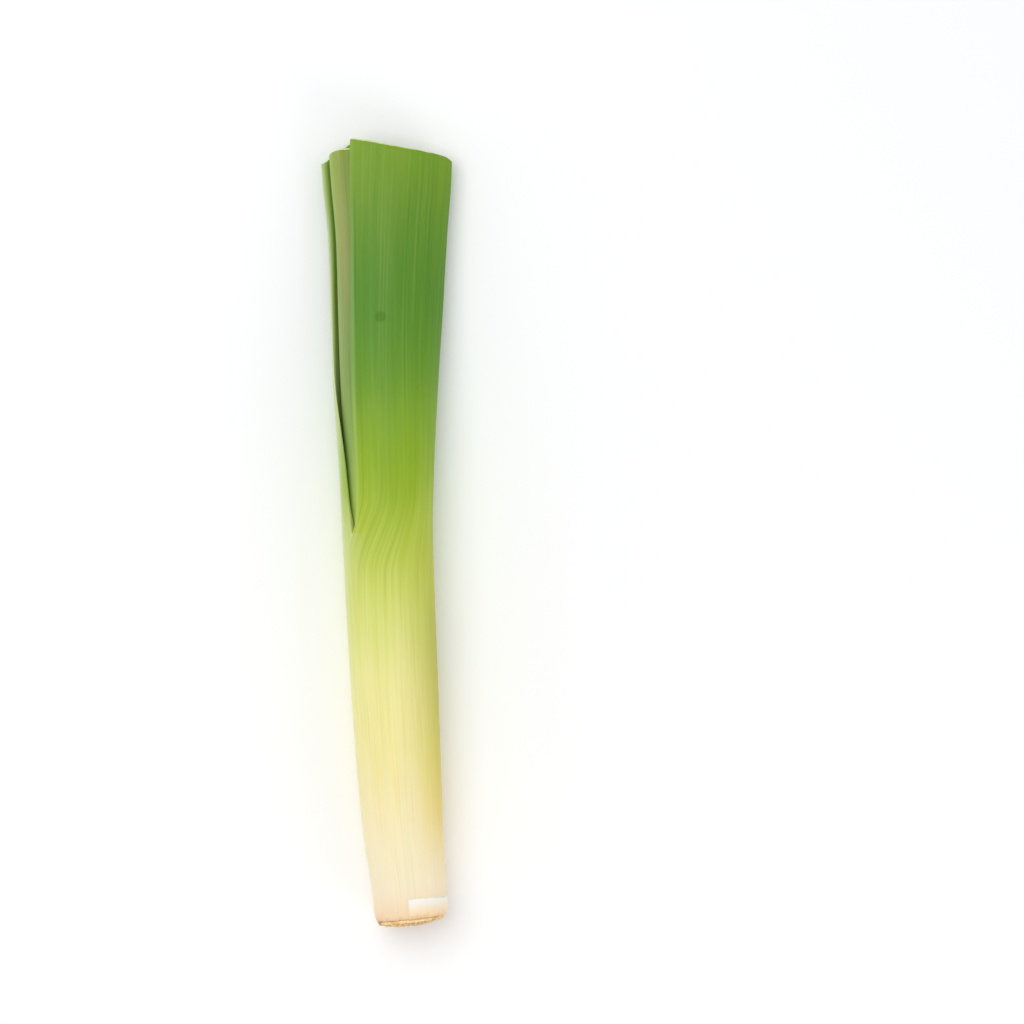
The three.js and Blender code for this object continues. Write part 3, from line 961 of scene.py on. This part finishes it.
class LeekStage(bpy.types.PropertyGroup):
    camera_height: bpy.props.FloatProperty(
        name="Camera height", description="Height of the camera over the leek", default=2.0, unit="LENGTH"
    )
    key_power: bpy.props.FloatProperty(name="Key light", description="Power of the key light", default=8.6)
    side_power: bpy.props.FloatProperty(name="Side light", description="Power of the side light", default=1.2)
    root_power: bpy.props.FloatProperty(
        name="Root light", description="Power of the light at the root end", default=1.6
    )
    sky: bpy.props.FloatProperty(name="Sky", description="Strength of the even light", default=0.6)


class LEEK_OT_outer_leaf(bpy.types.Operator):
    """Makes the outer leaf: white sheath, mouth and green folded blade"""

    bl_idname = "leek.outer_leaf"
    bl_label = "Outer Leaf"

    def execute(self, context):
        sizes = context.scene.leek_sizes
        skin = leaf_skin("outer_leaf_skin")
        lining = leaf_skin("outer_leaf_lining")
        flesh = cut_flesh("outer_leaf_flesh", "D3DE94", "EEF0C4")
        add_leaf(0, skin, lining, flesh, sizes)
        return {"FINISHED"}


class LEEK_OT_torn_sheath(bpy.types.Operator):
    """Makes the thin remnant of a peeled leaf round the root end"""

    bl_idname = "leek.torn_sheath"
    bl_label = "Torn Sheath"

    def execute(self, context):
        bm = torn_sheath_mesh(context.scene.leek_sizes)
        skin = leaf_skin("torn_sheath_skin")
        piece = put_in_scene(bm, "leek_torn_sheath", None, [skin])
        wall = piece.modifiers.new("wall", "SOLIDIFY")
        wall.thickness = TORN_WALL * MM
        wall.offset = -1
        return {"FINISHED"}


class LEEK_OT_inner_leaves(bpy.types.Operator):
    """Makes the leaves rolled up inside the outer one, from the second to the sixth"""

    bl_idname = "leek.inner_leaves"
    bl_label = "Inner Leaves"

    def execute(self, context):
        sizes = context.scene.leek_sizes
        second = leaf_skin("second_leaf_skin", tuple(context.scene.leek_colours.cast))
        skin = leaf_skin("inner_leaf_skin")
        flesh = cut_flesh("inner_leaf_flesh", "D6E08E", "F0F2C6")
        for index in range(1, len(LEAVES)):
            add_leaf(index, second if index == 1 else skin, skin, flesh, sizes)
        return {"FINISHED"}


class LEEK_OT_heart_leaf(bpy.types.Operator):
    """Makes the innermost leaves, rolled up tight as one rod"""

    bl_idname = "leek.heart_leaf"
    bl_label = "Heart Leaf"

    def execute(self, context):
        name, cut, slope, columns = HEART
        scale = 1 - LEAF_STEP * len(LEAVES)
        base = plate_top(PLATE_RADIUS * scale) + LEAF_GAP
        bm = bmesh.new()
        grain, height = bm.verts.layers.float.new("grain"), bm.verts.layers.float.new("height")
        bmesh.ops.create_grid(bm, x_segments=columns, y_segments=HEART_ROWS, size=0.5)
        for vert in bm.verts:
            across, share = (vert.co.x + 0.5) % 1, vert.co.y + 0.5
            degrees = 360 * across
            angle = math.radians(degrees)
            along = lerp(base, top_cut(cut, slope, scale, 0, degrees), share)
            size = scale * (1 + swell_at(angle, along) + HEART_RIB_SHARE * math.cos(HEART_RIBS * angle))
            vert.co = surface_point(size, angle, along, section_at(along))
            vert[grain], vert[height] = across, along / LENGTH
        bmesh.ops.remove_doubles(bm, verts=bm.verts, dist=SAME_POINT)
        open_edges = [edge for edge in bm.edges if edge.is_boundary]
        ends = bmesh.ops.holes_fill(bm, edges=open_edges, sides=0)["faces"]
        for face in ends:
            face.material_index = 1
        bmesh.ops.recalc_face_normals(bm, faces=bm.faces)
        for depth in HEART_RING_HEIGHTS:
            bmesh.ops.inset_individual(
                bm, faces=ends, thickness=HEART_RING_WIDTH, depth=depth, use_even_offset=False
            )
        map_grain(bm)
        skin = leaf_skin("heart_leaf_skin")
        flesh = cut_flesh("heart_leaf_flesh", "DDE69A", "F4F5CF")
        put_in_scene(bm, "leek_" + name, name, [skin, flesh])
        return {"FINISHED"}


def plate_point(radius, turn, along):
    """Point in metres on or in the root plate, whose middle leans with the slanted cut."""
    centre, _, half_depth, _ = section_at(0)
    offset = radius * math.cos(turn)
    height = FLAT_SHARE * half_depth + radius * math.sin(turn)
    return Vector((centre + offset, along - ORIGIN_ALONG + ROOT_SLANT * offset, height)) * MM


def dome_at(radius):
    return lerp(PLATE_BOTTOM, PLATE_RIM, (radius / PLATE_RADIUS) ** DOME_POWER)


class LEEK_OT_root_plate(bpy.types.Operator):
    """Makes the root plate, a domed disc with a cone above"""

    bl_idname = "leek.root_plate"
    bl_label = "Root Plate"

    def execute(self, context):
        shares = [(i / PLATE_RINGS) ** PLATE_RING_POWER for i in range(PLATE_RINGS + 1)]
        outline = [(PLATE_RADIUS * share, dome_at(PLATE_RADIUS * share)) for share in shares]
        outline += [(PLATE_RADIUS, lerp(PLATE_RIM, PLATE_SHOULDER, t)) for t in (0.35, 0.7, 1.0)]
        outline += [(lerp(PLATE_RADIUS, PLATE_CONE_TOP_RADIUS, t), None) for t in (0.2, 0.4, 0.6, 0.8, 1.0)]
        outline.append((0.0, plate_top(0)))
        bm = bmesh.new()
        verts = []
        for radius, along in outline:
            verts.append(bm.verts.new((radius, plate_top(radius) if along is None else along, 0)))
        edges = [bm.edges.new(pair) for pair in zip(verts, verts[1:])]
        bmesh.ops.spin(
            bm, geom=verts + edges, cent=(0, 0, 0), axis=(0, 1, 0), angle=2 * math.pi,
            steps=PLATE_STEPS, use_merge=True,
        )
        bmesh.ops.remove_doubles(bm, verts=bm.verts, dist=1e-4)
        for vert in bm.verts:
            x, along, z = vert.co
            radius, turn = math.hypot(x, z), math.atan2(z, x)
            across, up = math.cos(turn), math.sin(turn)
            rim = smoothstep(radius, PLATE_RAGGED_START, PLATE_RADIUS)
            rough = noise_at(across * radius * PLATE_ROUGH_SCALE, up * radius * PLATE_ROUGH_SCALE, along)
            ragged = noise_at(across * PLATE_RAGGED_WAVES, up * PLATE_RAGGED_WAVES, 2.0)
            if along < PLATE_SHOULDER + 0.01:
                along += PLATE_ROUGH * rough - PLATE_RAGGED_HEIGHT * rim * ragged
                radius += PLATE_RAGGED_WIDTH * rim * ragged
            vert.co = plate_point(radius, turn, along)
        bmesh.ops.recalc_face_normals(bm, faces=bm.faces)
        tissue = root_tissue("root_plate_tissue", 0.85)
        put_in_scene(bm, "leek_root_plate", "root_plate", [tissue])
        return {"FINISHED"}


class LEEK_OT_root_stubs(bpy.types.Operator):
    """Makes the stubs of the trimmed roots under the plate"""

    bl_idname = "leek.root_stubs"
    bl_label = "Root Stubs"

    def execute(self, context):
        draw = random.Random(STUB_SEED)
        bm = bmesh.new()
        count = context.scene.leek_sizes.root_stubs
        golden = math.pi * (3 - math.sqrt(5))
        for i in range(count):
            radius = (PLATE_RADIUS - STUB_GAP) * math.sqrt((i + 0.5) / count)
            turn = i * golden + draw.uniform(-STUB_TURN, STUB_TURN)
            thick = draw.uniform(*STUB_RADIUS)
            shows = draw.uniform(STUB_SHOWS_LEAST, lerp(*STUB_SHOWS_MOST, radius / PLATE_RADIUS))
            outward = radius * (1 + STUB_LEAN * draw.random())
            sideways = turn + draw.uniform(-STUB_LEAN, STUB_LEAN)
            root = plate_point(radius, turn, dome_at(radius) + STUB_ROOTED)
            tip = plate_point(outward, sideways, dome_at(radius) - shows)
            axis = tip - root
            turned = axis.to_track_quat("Z", "Y").to_matrix().to_4x4()
            made = bmesh.ops.create_cone(
                bm, cap_ends=True, segments=STUB_SIDES, depth=axis.length,
                radius1=thick * MM, radius2=thick * STUB_TAPER * MM,
                matrix=Matrix.Translation((root + tip) / 2) @ turned,
            )
            ends = {face for vert in made["verts"] for face in vert.link_faces if len(face.verts) > 4}
            dimple = thick * STUB_DIMPLE_SHARE * MM
            bmesh.ops.inset_individual(
                bm, faces=list(ends), thickness=dimple, depth=-STUB_DIMPLE_DEPTH * MM
            )
        put_in_scene(bm, "leek_root_stubs", None, [root_tissue("root_stub_tissue", 0.0)])
        return {"FINISHED"}


def pixel_place(pixel):
    """Place in millimetres, in the leek's own axes, of a pixel of the photograph."""
    top, bottom = Vector(AXIS_TOP_PIXEL), Vector(AXIS_BOTTOM_PIXEL)
    up = (top - bottom).normalized()
    right = Vector((-up.y, up.x))
    step = Vector(pixel) - (top + bottom) / 2
    return Vector((step.dot(right), step.dot(up))) * MM_PER_PIXEL


class LEEK_OT_stage(bpy.types.Operator):
    """Makes the floor, the soft lights and the camera that looks straight down"""

    bl_idname = "leek.stage"
    bl_label = "Stage"

    def execute(self, context):
        scene = context.scene
        stage, colours = scene.leek_stage, scene.leek_colours

        bm = bmesh.new()
        bmesh.ops.create_grid(bm, x_segments=1, y_segments=1, size=FLOOR_REACH)
        mesh = bpy.data.meshes.new("floor")
        bm.to_mesh(mesh)
        bm.free()
        floor = bpy.data.objects.new("floor", mesh)
        scene.collection.objects.link(floor)
        paint = Shader("floor_paint")
        mesh.materials.append(paint.surface(Base_Color=tuple(colours.floor), Roughness=0.9))

        world = bpy.data.worlds.new("sky")
        world.use_nodes = True
        background = world.node_tree.nodes["Background"]
        background.inputs[0].default_value = SKY_TINT
        background.inputs[1].default_value = stage.sky
        scene.world = world

        self.add_light("key", *KEY_LIGHT, stage.key_power)
        self.add_light("side", *SIDE_LIGHT, stage.side_power)
        self.add_light("root", *ROOT_LIGHT, stage.root_power)

        data = bpy.data.cameras.new("camera")
        camera = bpy.data.objects.new("camera", data)
        scene.collection.objects.link(camera)
        centre = pixel_place((FRAME_PIXELS / 2, FRAME_PIXELS / 2)) * MM
        top, bottom = Vector(AXIS_TOP_PIXEL), Vector(AXIS_BOTTOM_PIXEL)
        roll = math.atan2(bottom.x - top.x, bottom.y - top.y)
        camera.location = (centre.x, centre.y, stage.camera_height + SILHOUETTE_HEIGHT * MM)
        camera.rotation_euler = (0, 0, -roll)
        data.sensor_width = SENSOR_WIDTH
        data.lens = data.sensor_width * stage.camera_height / (FRAME_PIXELS * MM_PER_PIXEL * MM)
        data.clip_end = VIEW_REACH
        scene.camera = camera
        scene.view_settings.view_transform = "Standard"
        return {"FINISHED"}

    def add_light(self, name, place, size, power):
        data = bpy.data.lights.new(name, "AREA")
        data.shape, data.size, data.energy = "DISK", size, power
        light = bpy.data.objects.new(name, data)
        light.location = place
        light.rotation_euler = (-Vector(place)).to_track_quat("-Z", "Y").to_euler()
        bpy.context.scene.collection.objects.link(light)


class LEEK_PT_panel(bpy.types.Panel):
    """Lists the leek's sizes, colours and pieces"""

    bl_label = "Leek"
    bl_idname = "LEEK_PT_panel"
    bl_space_type = "VIEW_3D"
    bl_region_type = "UI"
    bl_category = "Leek"

    def draw(self, context):
        for group in (context.scene.leek_sizes, context.scene.leek_colours, context.scene.leek_stage):
            for name in group.bl_rna.properties.keys():
                if name not in ("rna_type", "name"):
                    self.layout.prop(group, name)
        for operator in OPERATORS:
            self.layout.operator(operator.bl_idname)


OPERATORS = (
    LEEK_OT_outer_leaf,
    LEEK_OT_torn_sheath,
    LEEK_OT_inner_leaves,
    LEEK_OT_heart_leaf,
    LEEK_OT_root_plate,
    LEEK_OT_root_stubs,
    LEEK_OT_stage,
)
GROUPS = {"leek_sizes": LeekSizes, "leek_colours": LeekColours, "leek_stage": LeekStage}


def register():
    for group in GROUPS.values():
        bpy.utils.register_class(group)
    for name, group in GROUPS.items():
        setattr(bpy.types.Scene, name, bpy.props.PointerProperty(type=group))
    for operator in (*OPERATORS, LEEK_PT_panel):
        bpy.utils.register_class(operator)


def unregister():
    for operator in reversed((*OPERATORS, LEEK_PT_panel)):
        bpy.utils.unregister_class(operator)
    for name in GROUPS:
        delattr(bpy.types.Scene, name)
    for group in reversed(GROUPS.values()):
        bpy.utils.unregister_class(group)


def main():
    register()
    bpy.ops.leek.outer_leaf()
    bpy.ops.leek.torn_sheath()
    bpy.ops.leek.inner_leaves()
    bpy.ops.leek.heart_leaf()
    bpy.ops.leek.root_plate()
    bpy.ops.leek.root_stubs()
    bpy.ops.leek.stage()
    bpy.context.view_layer.update()


if __name__ == "__main__":
    main()
